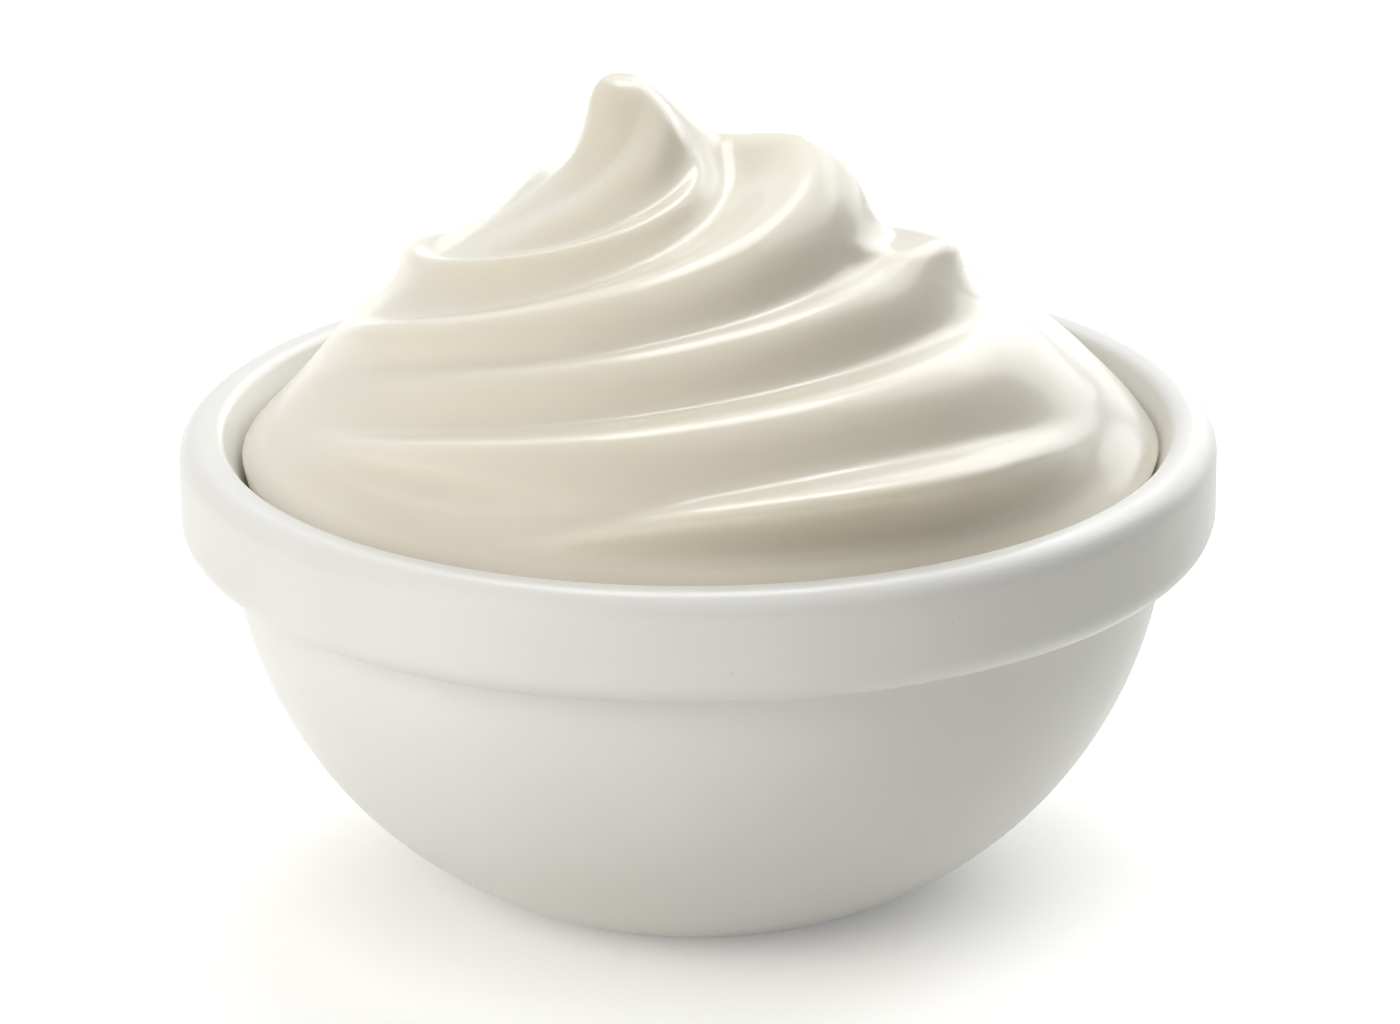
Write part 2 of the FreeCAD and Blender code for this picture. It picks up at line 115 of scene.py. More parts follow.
# ---------------------------------------------------------------- arithmetic in a node tree
class Term:
    """A number in a node tree; plain arithmetic on it adds the Math nodes."""

    def __init__(self, tree, socket):
        self.tree = tree
        self.socket = socket

    def math(self, operation, *others, clamp=False):
        node = self.tree.nodes.new("ShaderNodeMath")
        node.operation = operation
        node.use_clamp = clamp
        for place, value in enumerate((self,) + others):
            if isinstance(value, Term):
                self.tree.links.new(value.socket, node.inputs[place])
            else:
                node.inputs[place].default_value = value
        return Term(self.tree, node.outputs[0])

    def __add__(self, other):
        return self.math("ADD", other)

    def __sub__(self, other):
        return self.math("SUBTRACT", other)

    def __mul__(self, other):
        return self.math("MULTIPLY", other)

    def __truediv__(self, other):
        return self.math("DIVIDE", other)

    def __pow__(self, other):
        return self.math("POWER", other)

    def __rsub__(self, number):
        node = self.tree.nodes.new("ShaderNodeMath")
        node.operation = "SUBTRACT"
        node.inputs[0].default_value = number
        self.tree.links.new(self.socket, node.inputs[1])
        return Term(self.tree, node.outputs[0])

    __rmul__ = __mul__

    def sin(self):
        return self.math("SINE")

    def cos(self):
        return self.math("COSINE")

    def sqrt(self):
        return self.math("SQRT")

    def exp(self):
        return self.math("EXPONENT")

    def positive(self):
        return self.math("MAXIMUM", 0.0)

    def within_one(self):
        """The value held between 0 and 1."""
        return self.math("ADD", 0.0, clamp=True)

    def eased(self):
        """0 up to 0, 1 from 1 on, and a smooth step between."""
        share = self.within_one()
        return share * share * (3.0 - 2.0 * share)

    def soft_positive(self, softness):
        """The value where it is positive and nearly 0 elsewhere, without a corner."""
        return ((self * self + 4.0 * softness * softness).sqrt() + self) * 0.5


# ---------------------------------------------------------------- the cream's rule
def between(near, far, share):
    """Number that runs evenly from the near to the far value along the share."""
    return share * (far - near) + near


def added(terms):
    total = terms[0]
    for term in terms[1:]:
        total = total + term
    return total


def fold_tree():
    """Group for one fold: how far it stands outward and upward at a height above the level
    and an angle, and how much painted shade goes on the cream there, over its crease."""
    tree = bpy.data.node_groups.new("fold of cream", "GeometryNodeTree")
    for name in FOLD_OUTPUTS:
        tree.interface.new_socket(name, in_out="OUTPUT", socket_type="NodeSocketFloat")
    for name in FOLD_INPUTS + FOLD_SIZES:
        tree.interface.new_socket(name, in_out="INPUT", socket_type="NodeSocketFloat")
    entry = tree.nodes.new("NodeGroupInput")
    value = {name: Term(tree, entry.outputs[name]) for name in FOLD_INPUTS + FOLD_SIZES}

    turned_by = (value["Angle"] - value["Begin"]).math("WRAP", FULL_TURN, 0.0)
    share = (turned_by / (value["End"] - value["Begin"])).within_one()
    crease = between(value["Low end"], value["High end"], share)
    crease = crease + (share * math.pi).sin() * value["Bow"]
    drop = crease * value["Heap height"] - value["Height"]
    below = drop.soft_positive(value["Crease softness"])
    rise = between(value["Near rise"], value["Far rise"], share)
    width = between(value["Near width"], value["Far width"], share)
    form = (1.0 - (below / rise * -1.0).exp()) / ((below / width) ** value["Edge"] + 1.0)
    ends = (share / value["Swell"]).eased() * ((1.0 - share) / value["Fade"]).eased()
    depth = ((share - 0.5) * value["Deepen"] + 1.0) * value["Depth"]
    swelling = form * ends * depth
    lift = value["Lift"] * DEGREE
    leave = tree.nodes.new("NodeGroupOutput")
    tree.links.new((swelling * lift.cos()).socket, leave.inputs["Outward"])
    tree.links.new((swelling * lift.sin()).socket, leave.inputs["Upward"])
    # Painted shade: a darker, yellower tint just above the crease, in place of the shade that
    # falls in it.
    above = (drop + PAINTED_SHADE_RISE) / PAINTED_SHADE_REACH
    painted_shade = ends * depth / ((above * above + 1.0) * PAINTED_SHADE_DEPTH)
    tree.links.new(painted_shade.socket, leave.inputs["Painted shade"])
    return tree


def fold_swelling(tree, group, fold, inputs):
    """One fold in the heap's tree, as one term for each output of its group."""
    node = tree.nodes.new("GeometryNodeGroup")
    node.node_tree = group
    for name, term in zip(FOLD_INPUTS, inputs):
        tree.links.new(term.socket, node.inputs[name])
    for name, size in zip(FOLD_SIZES, fold):
        node.inputs[name].default_value = size
    return [Term(tree, node.outputs[name]) for name in FOLD_OUTPUTS]


def cream_tree(folds):
    """Node tree that lays a grid over the heap: rings from tip to wall, steps round it."""
    tree = bpy.data.node_groups.new("swirled cream", "GeometryNodeTree")
    tree.interface.new_socket("Geometry", in_out="OUTPUT", socket_type="NodeSocketGeometry")
    for name, value in CREAM.items():
        socket = tree.interface.new_socket(name, in_out="INPUT", socket_type="NodeSocketFloat")
        socket.default_value = value
    tree.interface.new_socket("Finish", in_out="INPUT", socket_type="NodeSocketMaterial")
    entry = tree.nodes.new("NodeGroupInput")
    sizes = {name: Term(tree, entry.outputs[name]) for name in CREAM}

    grid = tree.nodes.new("GeometryNodeMeshGrid")
    grid.inputs["Size X"].default_value = 1.0
    grid.inputs["Size Y"].default_value = 1.0
    grid.inputs["Vertices X"].default_value = RINGS
    grid.inputs["Vertices Y"].default_value = STEPS + 1
    place = tree.nodes.new("GeometryNodeInputPosition")
    split = tree.nodes.new("ShaderNodeSeparateXYZ")
    tree.links.new(place.outputs[0], split.inputs[0])
    along = Term(tree, split.outputs["X"]) + 0.5
    angle = (Term(tree, split.outputs["Y"]) + 0.5) * FULL_TURN

    out = along * sizes["Wall radius"]
    tip = sizes["Tip rounding"]
    rounded = (out * out + tip * tip).sqrt() - tip
    body = (1.0 - rounded / sizes["Foot radius"]).positive() ** sizes["Heap fullness"]
    body = body * (sizes["Heap height"] - sizes["Peak height"])
    peak = sizes["Peak height"] / ((out / sizes["Peak radius"]) ** PEAK_POWER + 1.0)
    blend = sizes["Foot blend"]
    height = ((body + peak) / blend).exp() + 1.0
    height = height.math("LOGARITHM", math.e) * blend

    inputs = (height, angle, sizes["Heap height"], sizes["Crease softness"])
    group = fold_tree()
    parts = [fold_swelling(tree, group, fold, inputs) for fold in folds.values()]
    outward, upward, painted_shade = [added(terms) for terms in zip(*parts)]
    inner = (out / (sizes["Peak radius"] + tip)).eased()
    outer = 1.0 - ((out / sizes["Foot radius"] - 1.0) / FOOT_SHARE + 1.0).eased()
    outward = outward * inner * outer
    upward = upward * inner * outer

    part = height / sizes["Heap height"]
    start = sizes["Lean starts"]
    leaning = ((part - start) / (1.0 - start)).positive() ** LEAN_POWER
    belly = part * (1.0 - part) * 4.0 * sizes["Belly"]
    radius = out + outward
    turn = angle * DEGREE
    x = radius * turn.cos() + belly - leaning * sizes["Tip lean"]
    y = radius * turn.sin() + leaning * sizes["Tip back"]
    z = sizes["Level"] + height + upward

    gather = tree.nodes.new("ShaderNodeCombineXYZ")
    for axis, term in zip("XYZ", (x, y, z)):
        tree.links.new((term * MM).socket, gather.inputs[axis])
    move = tree.nodes.new("GeometryNodeSetPosition")
    tree.links.new(grid.outputs["Mesh"], move.inputs["Geometry"])
    tree.links.new(gather.outputs[0], move.inputs["Position"])
    # The painted shade over the creases is kept on the points for the cream's finish.
    store = tree.nodes.new("GeometryNodeStoreNamedAttribute")
    store.data_type = "FLOAT"
    store.domain = "POINT"
    store.inputs["Name"].default_value = "painted_shade"
    tree.links.new(move.outputs[0], store.inputs["Geometry"])
    tree.links.new((painted_shade * inner).within_one().socket, store.inputs["Value"])
    weld = tree.nodes.new("GeometryNodeMergeByDistance")
    weld.inputs["Distance"].default_value = SEAM
    tree.links.new(store.outputs[0], weld.inputs["Geometry"])
    smooth = tree.nodes.new("GeometryNodeSetShadeSmooth")
    tree.links.new(weld.outputs[0], smooth.inputs["Geometry"])
    paint = tree.nodes.new("GeometryNodeSetMaterial")
    tree.links.new(smooth.outputs[0], paint.inputs["Geometry"])
    tree.links.new(entry.outputs["Finish"], paint.inputs["Material"])
    leave = tree.nodes.new("NodeGroupOutput")
    tree.links.new(paint.outputs[0], leave.inputs[0])
    return tree


def grown(tree, name, finish):
    """Plain mesh object of what the tree makes."""
    seed = bpy.data.objects.new(name + "_seed", bpy.data.meshes.new(name + "_seed"))
    bpy.context.scene.collection.objects.link(seed)
    modifier = seed.modifiers.new("rule", "NODES")
    modifier.node_group = tree
    for item in tree.interface.items_tree:
        if item.name == "Finish":
            modifier[item.identifier] = finish
    bpy.context.view_layer.update()
    evaluated = seed.evaluated_get(bpy.context.evaluated_depsgraph_get())
    mesh = bpy.data.meshes.new_from_object(evaluated)
    mesh.name = name
    bpy.data.objects.remove(seed)
    piece = bpy.data.objects.new(name, mesh)
    bpy.context.scene.collection.objects.link(piece)
    return piece


# ---------------------------------------------------------------- the bowl's section
# Roundings under the foot, in millimetres.
RECESS_ROUND = 0.5
RING_ROUND = 0.3
FOOT_ROUND = 1.0
# Heights between which the body's wall is laid out: above the stand plane, below the neck.
BODY_START = 0.12
NECK_ROOM = 1.3
# Pieces into which each arc of the outline is cut.
PIECES = {"recess": 4, "ring": 3, "foot": 4, "body": 56, "ledge": 8, "band": 14,
          "lip_outer": 12, "flare": 18, "lip_inner": 8, "inside": 40}
BAND_PARTS = (0.35, 0.5, 0.65)
TURN_STEPS = 240
ON_AXIS = 1e-6


class Section:
    """Outline of the bowl's wall: arcs and lines in radius and height, in millimetres."""

    def __init__(self, sizes):
        self.sizes = sizes
        band_foot = sizes["bowl_height"] - sizes["band_height"]
        self.foot = (sizes["foot_radius"], 0.0)
        self.neck = (sizes["rim_radius"] - sizes["ledge_width"], band_foot - sizes["ledge_drop"])
        self.band = (sizes["rim_radius"], band_foot)
        self.rim = (sizes["rim_radius"], sizes["bowl_height"])
        self.lip = (sizes["rim_radius"] - sizes["lip_width"], sizes["bowl_height"])
        self.centre = self.arc_centre(self.foot, self.neck, sizes["body_arc"])

    @staticmethod
    def arc_centre(start, end, radius):
        middle = ((start[0] + end[0]) / 2, (start[1] + end[1]) / 2)
        along = (end[0] - start[0], end[1] - start[1])
        length = math.hypot(*along)
        rise = math.sqrt(radius ** 2 - (length / 2) ** 2)
        return (middle[0] - along[1] / length * rise, middle[1] + along[0] / length * rise)

    def on_body(self, depth, height):
        """Point of the body's wall, depth in from its outside, at that height."""
        radius = self.sizes["body_arc"] - depth
        across = math.sqrt(radius ** 2 - (height - self.centre[1]) ** 2)
        return (self.centre[0] + across, height)

    def body_arc(self, depth, low, high, count):
        """Points up the body's wall, evenly spaced round its arc."""
        radius = self.sizes["body_arc"] - depth
        first = math.asin((low - self.centre[1]) / radius)
        last = math.asin((high - self.centre[1]) / radius)
        for step in range(count + 1):
            turn = first + (last - first) * step / count
            yield (self.centre[0] + radius * math.cos(turn),
                   self.centre[1] + radius * math.sin(turn))

    def flare_arc(self, gap, count):
        """Points up the inside from where the wall starts to flare to the lip."""
        start = self.on_body(self.sizes["wall"] + gap, self.sizes["flare_height"])
        end = (self.lip[0] - gap, self.lip[1])
        outward = (start[0] - self.centre[0], start[1] - self.centre[1])
        length = math.hypot(*outward)
        outward = (outward[0] / length, outward[1] / length)
        chord = (end[0] - start[0], end[1] - start[1])
        radius = (chord[0] ** 2 + chord[1] ** 2) / (
            2 * (outward[0] * chord[0] + outward[1] * chord[1]))
        middle = (start[0] + outward[0] * radius, start[1] + outward[1] * radius)
        first = math.atan2(start[1] - middle[1], start[0] - middle[0]) % (2 * math.pi)
        last = math.atan2(end[1] - middle[1], end[0] - middle[0]) % (2 * math.pi)
        for step in range(count + 1):
            turn = first + (last - first) * step / count
            yield (middle[0] + radius * math.cos(turn), middle[1] + radius * math.sin(turn))


def rounded(before, corner, after, radius, count):
    """Points of the arc that rounds a corner between two straight stretches."""
    def unit(end):
        length = math.dist(corner, end)
        return ((end[0] - corner[0]) / length, (end[1] - corner[1]) / length)

    first, second = unit(before), unit(after)
    half = math.acos(first[0] * second[0] + first[1] * second[1]) / 2
    reach = radius / math.tan(half)
    start = (corner[0] + first[0] * reach, corner[1] + first[1] * reach)
    end = (corner[0] + second[0] * reach, corner[1] + second[1] * reach)
    middle = (first[0] + second[0], first[1] + second[1])
    length = math.hypot(*middle)
    far = radius / math.sin(half) / length
    centre = (corner[0] + middle[0] * far, corner[1] + middle[1] * far)
    begin = math.atan2(start[1] - centre[1], start[0] - centre[0])
    sweep = math.atan2(end[1] - centre[1], end[0] - centre[0]) - begin
    sweep = (sweep + math.pi) % (2 * math.pi) - math.pi
    for step in range(count + 1):
        turn = begin + sweep * step / count
        yield (centre[0] + radius * math.cos(turn), centre[1] + radius * math.sin(turn))


def bowl_outline(section):
    """Closed run of points from the foot recess, up the outside, over the lip, to the floor."""
    sizes = section.sizes
    ring_inside = sizes["foot_radius"] - sizes["foot_ring"]
    recess = sizes["foot_recess"]
    recess_edge = (ring_inside - sizes["foot_draft"], recess)
    ring_edge = (ring_inside, 0.0)
    points = [(0.0, recess), (ring_inside * 0.5, recess)]
    points += rounded((0.0, recess), recess_edge, ring_edge, RECESS_ROUND, PIECES["recess"])
    points += rounded(recess_edge, ring_edge, section.foot, RING_ROUND, PIECES["ring"])
    # The arcs' points nearest a corner are left out, where its rounding takes their place.
    body = list(section.body_arc(0.0, BODY_START, section.neck[1] - NECK_ROOM, PIECES["body"]))
    points += rounded(ring_edge, section.foot, body[4], FOOT_ROUND, PIECES["foot"])
    points += body[2:]
    points += rounded(body[-4], section.neck, section.band, sizes["ledge_round"],
                      PIECES["ledge"])
    points += rounded(section.neck, section.band, section.rim, sizes["band_round"],
                      PIECES["band"])
    points += [(sizes["rim_radius"], section.band[1] + part * sizes["band_height"])
               for part in BAND_PARTS]
    points += rounded(section.band, section.rim, section.lip, sizes["lip_outer_round"],
                      PIECES["lip_outer"])
    flare = list(section.flare_arc(0.0, PIECES["flare"]))
    points += rounded(section.rim, section.lip, flare[-5], sizes["lip_inner_round"],
                      PIECES["lip_inner"])
    points += reversed(flare[1:-4])
    inside = list(section.body_arc(sizes["wall"], sizes["floor_height"],
                                   sizes["flare_height"], PIECES["inside"]))
    points += reversed(inside[1:])
    floor_edge = inside[0]
    points += [floor_edge, (floor_edge[0] * 0.6, floor_edge[1]), (0.0, floor_edge[1])]
    return points


def turned(name, outline, steps):
    """Mesh of an outline turned round the Z axis, open ends on the axis closed to a point."""
    mesh = bpy.data.meshes.new(name)
    body = bmesh.new()
    rings = []
    for radius, height in outline:
        if radius < ON_AXIS:
            rings.append([body.verts.new((0.0, 0.0, height * MM))])
            continue
        ring = []
        for step in range(steps):
            turn = 2 * math.pi * step / steps
            ring.append(body.verts.new((radius * math.cos(turn) * MM,
                                        radius * math.sin(turn) * MM, height * MM)))
        rings.append(ring)
    for first, second in zip(rings, rings[1:]):
        for step in range(steps):
            after = (step + 1) % steps
            if len(first) == 1:
                body.faces.new((first[0], second[after], second[step]))
            elif len(second) == 1:
                body.faces.new((first[step], first[after], second[0]))
            else:
                body.faces.new((first[step], first[after], second[after], second[step]))
    bmesh.ops.recalc_face_normals(body, faces=body.faces)
    for face in body.faces:
        face.smooth = True
    body.to_mesh(mesh)
    body.free()
    piece = bpy.data.objects.new(name, mesh)
    bpy.context.scene.collection.objects.link(piece)
    return piece


# ---------------------------------------------------------------- finishes
GLAZE_CLOUDS = ((0.815, 0.800, 0.762), (0.838, 0.828, 0.796))
PINHOLE_COLOUR = (0.74, 0.72, 0.68)
PINHOLE_EDGE = (0.015, 0.032)
GLAZE_GLOSS = (0.30, 0.38)
CREAM_RIDGES = ((0.814, 0.758, 0.684), (0.838, 0.790, 0.722))
# The cream's colour over its creases: painted shade, darker and yellower than the rest.
CREAM_PAINTED_SHADE = (0.728, 0.678, 0.528)
CREAM_GLOSS = (0.30, 0.42)
# Depths of the relief's layers, in metres.
GLAZE_RELIEF = {"unevenness": 0.00022, "skin": 0.00002, "pinholes": 0.00004}
CREAM_RELIEF = {"waves": 0.0004, "layers": 0.00005, "bubbles": 0.00001}


def finish(name):
    """New material with its node tree and its shader."""
    material = bpy.data.materials.new(name)
    material.use_nodes = True
    return material, material.node_tree, material.node_tree.nodes["Principled BSDF"]


def noise(tree, scale, stretch=(1.0, 1.0, 1.0), detail=3.0, roughness=0.5):
    """Noise on the piece's own coordinates: scale in turns a metre, stretched by axis."""
    place = tree.nodes.new("ShaderNodeTexCoord")
    mapping = tree.nodes.new("ShaderNodeMapping")
    mapping.inputs["Scale"].default_value = stretch
    texture = tree.nodes.new("ShaderNodeTexNoise")
    texture.inputs["Scale"].default_value = scale
    texture.inputs["Detail"].default_value = detail
    texture.inputs["Roughness"].default_value = roughness
    tree.links.new(place.outputs["Object"], mapping.inputs["Vector"])
    tree.links.new(mapping.outputs[0], texture.inputs["Vector"])
    return texture.outputs[0]


def spread(tree, socket, low, high, to_low, to_high):
    """The socket's value carried from one range into another."""
    node = tree.nodes.new("ShaderNodeMapRange")
    for name, value in zip(("From Min", "From Max", "To Min", "To Max"),
                           (low, high, to_low, to_high)):
        node.inputs[name].default_value = value
    tree.links.new(socket, node.inputs["Value"])
    return node.outputs[0]


def blended(tree, share, first, second):
    """Colour that goes from the first to the second; each is a colour or a socket."""
    node = tree.nodes.new("ShaderNodeMix")
    node.data_type = "RGBA"
    tree.links.new(share, node.inputs["Factor"])
    for name, colour in (("A", first), ("B", second)):
        socket = [item for item in node.inputs if item.name == name and item.type == "RGBA"][0]
        if isinstance(colour, tuple):
            socket.default_value = colour + (1.0,)
        else:
            tree.links.new(colour, socket)
    return [item for item in node.outputs if item.type == "RGBA"][0]


def relief(tree, shader, layers):
    """Bumps one on another: each layer is a height from 0 to 1 and its depth in metres."""
    normal = None
    for height, depth in layers:
        bump = tree.nodes.new("ShaderNodeBump")
        bump.inputs["Strength"].default_value = 1.0
        bump.inputs["Distance"].default_value = depth
        tree.links.new(height, bump.inputs["Height"])
        if normal is not None:
            tree.links.new(normal, bump.inputs["Normal"])
        normal = bump.outputs[0]
    tree.links.new(normal, shader.inputs["Normal"])


def glaze():
    """White glaze: soft gloss, faint clouding, a fine orange-peel skin and a few pinholes."""
    material, tree, shader = finish("white_glaze")
    clouds = spread(tree, noise(tree, 42.0, detail=2.0), 0.35, 0.65, 0.0, 1.0)
    body = blended(tree, clouds, *GLAZE_CLOUDS)
    specks = tree.nodes.new("ShaderNodeTexVoronoi")
    specks.inputs["Scale"].default_value = 210.0
    place = tree.nodes.new("ShaderNodeTexCoord")
    tree.links.new(place.outputs["Object"], specks.inputs["Vector"])
    pinholes = spread(tree, specks.outputs["Distance"], *PINHOLE_EDGE, 1.0, 0.0)
    tree.links.new(blended(tree, pinholes, body, PINHOLE_COLOUR), shader.inputs["Base Color"])
    tree.links.new(spread(tree, noise(tree, 160.0), 0.3, 0.7, *GLAZE_GLOSS),
                   shader.inputs["Roughness"])
    shader.inputs["Coat Weight"].default_value = 0.12
    shader.inputs["Coat Roughness"].default_value = 0.16
    skin = noise(tree, 420.0, detail=1.0)
    unevenness = noise(tree, 36.0, detail=1.0)
    sunk = spread(tree, pinholes, 0.0, 1.0, 1.0, 0.0)
    relief(tree, shader, zip((unevenness, skin, sunk), GLAZE_RELIEF.values()))
    return material


def whipped():
    """Whipped cream: soft and wet, darker and yellower over its creases as painted shade, with
    faint layers and fine bubbles.
    """
    material, tree, shader = finish("whipped_cream")
    drift = spread(tree, noise(tree, 55.0, detail=3.0), 0.3, 0.7, 0.0, 1.0)
    ridge = blended(tree, drift, *CREAM_RIDGES)
    # Painted shade: the cream is tinted darker and yellower over its creases, where shade falls.
    painted_shade = tree.nodes.new("ShaderNodeAttribute")
    painted_shade.attribute_name = "painted_shade"
    tree.links.new(blended(tree, painted_shade.outputs["Fac"], ridge, CREAM_PAINTED_SHADE),
                   shader.inputs["Base Color"])
    tree.links.new(spread(tree, noise(tree, 75.0, (1.0, 1.0, 3.0)), 0.3, 0.7, *CREAM_GLOSS),
                   shader.inputs["Roughness"])
    shader.inputs["Specular IOR Level"].default_value = 0.65
    shader.inputs["Subsurface Weight"].default_value = 0.55
    shader.inputs["Subsurface Radius"].default_value = (1.0, 0.85, 0.62)
    shader.inputs["Subsurface Scale"].default_value = 0.004
    shader.inputs["Coat Weight"].default_value = 0.5
    shader.inputs["Coat Roughness"].default_value = 0.12
    waves = noise(tree, 70.0, (1.0, 1.0, 1.6), detail=1.0)
    layers = noise(tree, 85.0, (1.0, 1.0, 5.0), detail=1.0)
    bubbles = noise(tree, 900.0, detail=2.0)
    relief(tree, shader, zip((waves, layers, bubbles), CREAM_RELIEF.values()))
    return material


# ---------------------------------------------------------------- pieces
def make_bowl(section):
    piece = turned("bowl_glazed", bowl_outline(section), TURN_STEPS)
    piece.data.materials.append(glaze())
    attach(piece, "root")
    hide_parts("bowl")


def close_below(piece, section):
    """Carries the cream's edge down the inside of the bowl and shuts it over the floor."""
    sizes = section.sizes
    depth = sizes["wall"] + CREAM_GAP
    floor = sizes["floor_height"] + CREAM_GAP
    down = [point for point in section.flare_arc(CREAM_GAP, FLARE_RINGS)
            if point[1] < CREAM["Level"]][::-1]
    down += list(section.body_arc(depth, floor, sizes["flare_height"], BODY_RINGS))[::-1][1:]
    body = bmesh.new()
    body.from_mesh(piece.data)
    edges = [edge for edge in body.edges if edge.is_boundary]
    for radius, height in down:
        result = bmesh.ops.extrude_edge_only(body, edges=edges)
        fresh = [item for item in result["geom"] if isinstance(item, bmesh.types.BMVert)]
        for vert in fresh:
            flat = Vector((vert.co.x, vert.co.y)).normalized()
            vert.co = (flat.x * radius * MM, flat.y * radius * MM, height * MM)
        edges = [item for item in result["geom"] if isinstance(item, bmesh.types.BMEdge)]
        edges = [edge for edge in edges if edge.is_boundary]
    bmesh.ops.edgeloop_fill(body, edges=edges)
    bmesh.ops.recalc_face_normals(body, faces=body.faces)
    for face in body.faces:
        face.smooth = True
    body.to_mesh(piece.data)
    body.free()


def make_cream(section):
    piece = grown(cream_tree(FOLDS), "cream_swirl", whipped())
    close_below(piece, section)
    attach(piece, "root")
    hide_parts("cream")


# ---------------------------------------------------------------- studio
def aimed(name, data, place, target):
    item = bpy.data.objects.new(name, data)
    bpy.context.scene.collection.objects.link(item)
    item.location = place
    item.rotation_euler = (Vector(target) - Vector(place)).to_track_quat("-Z", "Y").to_euler()
    return item


def softbox(name, place, target, width, watts, colour):
    light = bpy.data.lights.new(name, "AREA")
    light.shape = "SQUARE"
    light.size = width
    light.energy = watts
    light.color = colour
    lamp = aimed(name, light, place, target)
    lamp.visible_camera = False
    return lamp


MIDDLE = (0.0, 0.0, 0.05)
FILL_LIGHT = 0.02
# The floor's own white: distances from the middle in metres, and the strengths there.  The
# first is the glow from under the bowl to beside it, weaker near the bowl, which paints a tight
# shadow round the foot on top of the real one; the second what is added far away.
NEAR_GLOW_PAINTED_SHADOW = ((0.025, 0.052), (0.24, 0.47))
FAR_GLOW = ((0.30, 1.00), (0.0, 0.53))
# Each lamp: turn and rise in degrees, distance and width in metres, watts.
LAMPS = {
    "low_left_front": (-137.0, 24.0, 1.0, 0.8, 7.0),
    "low_right_back": (58.0, 24.0, 1.0, 0.8, 3.4),
    "over_the_back": (92.0, 68.0, 1.0, 0.45, 2.9),
    "high_right_back": (40.0, 52.0, 1.0, 0.7, 2.3),
    "high_back": (95.0, 48.0, 1.0, 0.8, 1.6),
    "high_front": (-65.0, 60.0, 1.0, 0.8, 1.0),
}
BACK_LAMPS = ("low_right_back", "over_the_back", "high_right_back", "high_back")
BACK_COLOUR = (0.965, 0.985, 1.0)
FRONT_COLOUR = (1.0, 0.99, 0.975)
# Lamps that light without being mirrored in the gloss.
PLAIN_LAMPS = ("low_left_front",)
FLOOR_COLOUR = (0.85, 0.842, 0.805, 1.0)
FLOOR_HALF = 6.0
CAMERA_DISTANCE = 0.8
CAMERA_RISE = 19.58
CAMERA_TILT = -0.47
CAMERA_FOCUS = (0.0, 0.0, 0.0438)
CAMERA_LENS = 176.9
CAMERA_SHIFT = 0.0011


def make_camera():
    """Camera a little above the rim, square on to the side the swirl opens towards."""
    rise, tilt = math.radians(CAMERA_RISE), math.radians(CAMERA_TILT)
    focus = Vector(CAMERA_FOCUS)
    camera = bpy.data.cameras.new("camera")
    camera.sensor_width = 36.0
    camera.lens = CAMERA_LENS
    camera.clip_start = 0.05
    camera.clip_end = 50.0
    camera.shift_x = CAMERA_SHIFT
    item = bpy.data.objects.new("camera", camera)
    bpy.context.scene.collection.objects.link(item)
    place = focus + CAMERA_DISTANCE * Vector((0.0, -math.cos(rise), math.sin(rise)))
    turn = (focus - place).to_track_quat("-Z", "Y").to_matrix().to_4x4()
    item.matrix_world = Matrix.Translation(place) @ turn @ Matrix.Rotation(tilt, 4, "Z")
    bpy.context.scene.camera = item


def seen_directly(tree):
    """1 for what the camera sees straight, in a gloss or through glass; 0 for plain light."""
    rays = tree.nodes.new("ShaderNodeLightPath")
    seen = rays.outputs["Is Camera Ray"]
    for kind in ("Is Glossy Ray", "Is Transmission Ray"):
        either = tree.nodes.new("ShaderNodeMath")
        either.operation = "MAXIMUM"
        tree.links.new(seen, either.inputs[0])
        tree.links.new(rays.outputs[kind], either.inputs[1])
        seen = either.outputs[0]
    return seen


def make_world():
    """White backdrop to look at, and a weaker even light on the bowl."""
    world = bpy.data.worlds.new("studio")
    bpy.context.scene.world = world
    world.use_nodes = True
    tree = world.node_tree
    backdrop = tree.nodes["Background"]
    backdrop.inputs["Color"].default_value = (1.0, 1.0, 1.0, 1.0)
    fill = tree.nodes.new("ShaderNodeBackground")
    fill.inputs["Strength"].default_value = FILL_LIGHT
    choose = tree.nodes.new("ShaderNodeMixShader")
    tree.links.new(seen_directly(tree), choose.inputs["Fac"])
    tree.links.new(fill.outputs[0], choose.inputs[1])
    tree.links.new(backdrop.outputs[0], choose.inputs[2])
    tree.links.new(choose.outputs[0], tree.nodes["World Output"].inputs["Surface"])


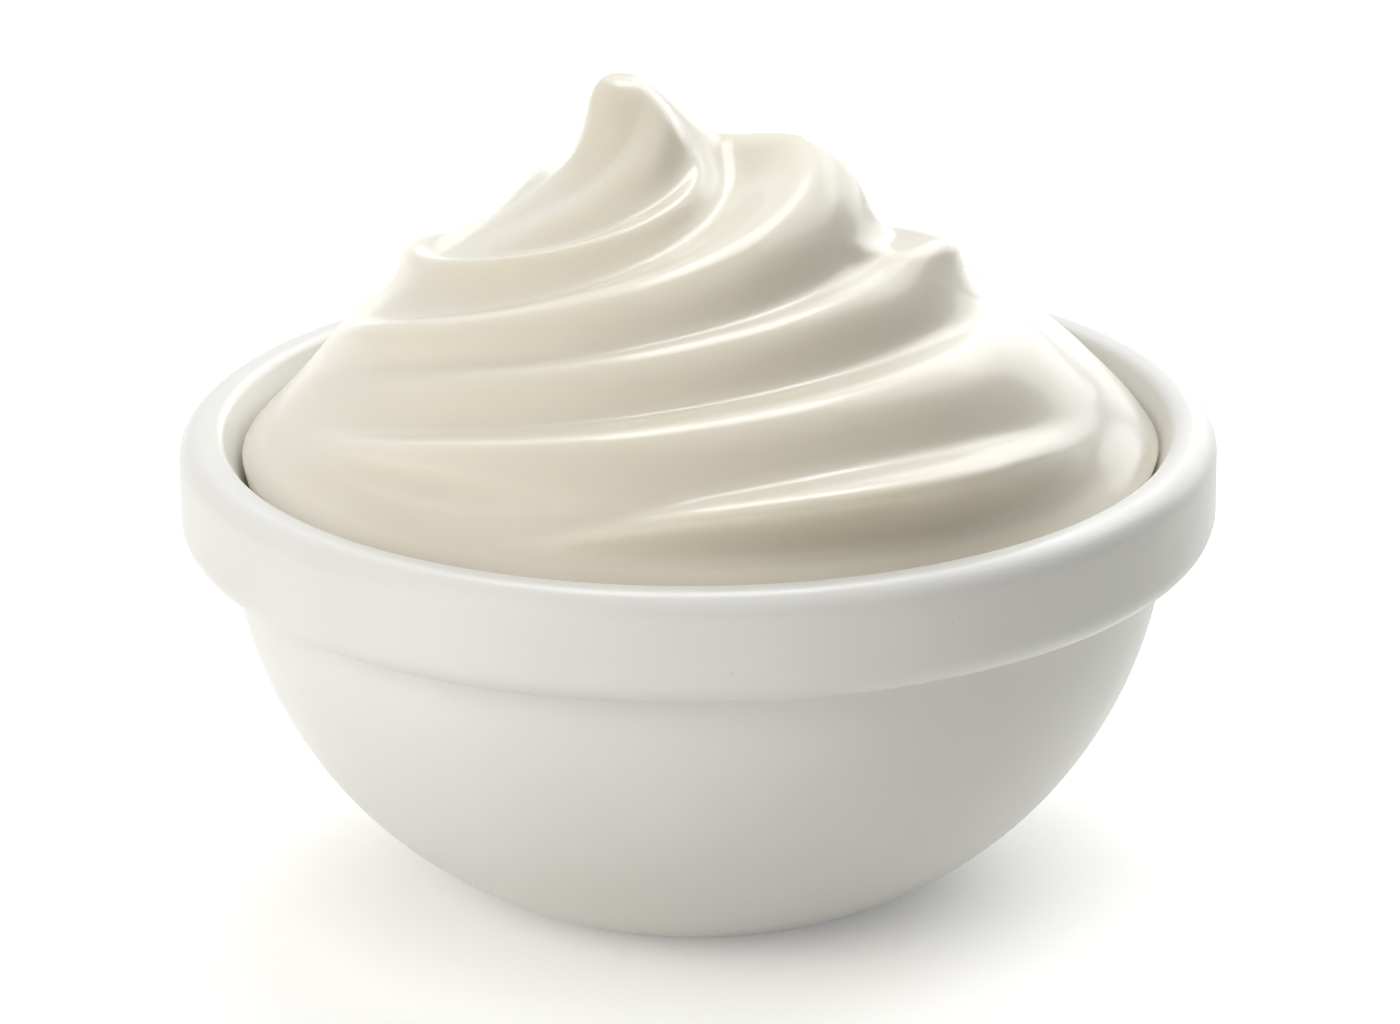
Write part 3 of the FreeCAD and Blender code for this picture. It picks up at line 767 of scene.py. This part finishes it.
def make_floor():
    """Wide pale floor that looks white and takes the bowl's shadow, with a painted shadow round
    the foot where its glow is weaker.
    """
    mesh = bpy.data.meshes.new("floor")
    half = FLOOR_HALF
    mesh.from_pydata([(-half, -half, 0), (half, -half, 0), (half, half, 0), (-half, half, 0)],
                     [], [(0, 1, 2, 3)])
    floor = bpy.data.objects.new("floor", mesh)
    bpy.context.scene.collection.objects.link(floor)
    material, tree, shader = finish("pale_floor")
    shader.inputs["Base Color"].default_value = FLOOR_COLOUR
    shader.inputs["Roughness"].default_value = 0.8
    shader.inputs["Specular IOR Level"].default_value = 0.1
    shader.inputs["Emission Color"].default_value = (1.0, 1.0, 1.0, 1.0)
    place = tree.nodes.new("ShaderNodeTexCoord")
    away = tree.nodes.new("ShaderNodeVectorMath")
    away.operation = "LENGTH"
    tree.links.new(place.outputs["Object"], away.inputs[0])
    total = tree.nodes.new("ShaderNodeMath")
    # The glow is weaker near the bowl: a painted shadow round its foot.
    for number, (reach, strength) in enumerate((NEAR_GLOW_PAINTED_SHADOW, FAR_GLOW)):
        tree.links.new(spread(tree, away.outputs["Value"], *reach, *strength),
                       total.inputs[number])
    glow = tree.nodes.new("ShaderNodeMath")
    glow.operation = "MULTIPLY"
    tree.links.new(total.outputs[0], glow.inputs[0])
    tree.links.new(seen_directly(tree), glow.inputs[1])
    tree.links.new(glow.outputs[0], shader.inputs["Emission Strength"])
    mesh.materials.append(material)


def around(turn, rise, distance):
    """Place at a turn from +X towards +Y and a rise above the floor, both in degrees."""
    flat = distance * math.cos(math.radians(rise))
    return (flat * math.cos(math.radians(turn)), flat * math.sin(math.radians(turn)),
            MIDDLE[2] + distance * math.sin(math.radians(rise)))


def make_studio():
    make_camera()
    make_world()
    make_floor()
    for name, (turn, rise, distance, width, watts) in LAMPS.items():
        colour = BACK_COLOUR if name in BACK_LAMPS else FRONT_COLOUR
        lamp = softbox(name, around(turn, rise, distance), MIDDLE, width, watts, colour)
        lamp.visible_glossy = name not in PLAIN_LAMPS


# ---------------------------------------------------------------- build
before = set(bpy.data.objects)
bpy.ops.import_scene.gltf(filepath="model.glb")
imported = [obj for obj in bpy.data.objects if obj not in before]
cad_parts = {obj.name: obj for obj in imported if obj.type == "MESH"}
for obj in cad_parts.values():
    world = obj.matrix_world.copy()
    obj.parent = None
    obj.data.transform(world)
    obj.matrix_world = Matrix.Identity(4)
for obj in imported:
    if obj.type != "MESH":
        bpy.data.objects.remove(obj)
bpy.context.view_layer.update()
bpy.context.scene.view_settings.view_transform = "Standard"
wall = Section(BOWL)
make_bowl(wall)
make_cream(wall)
make_studio()
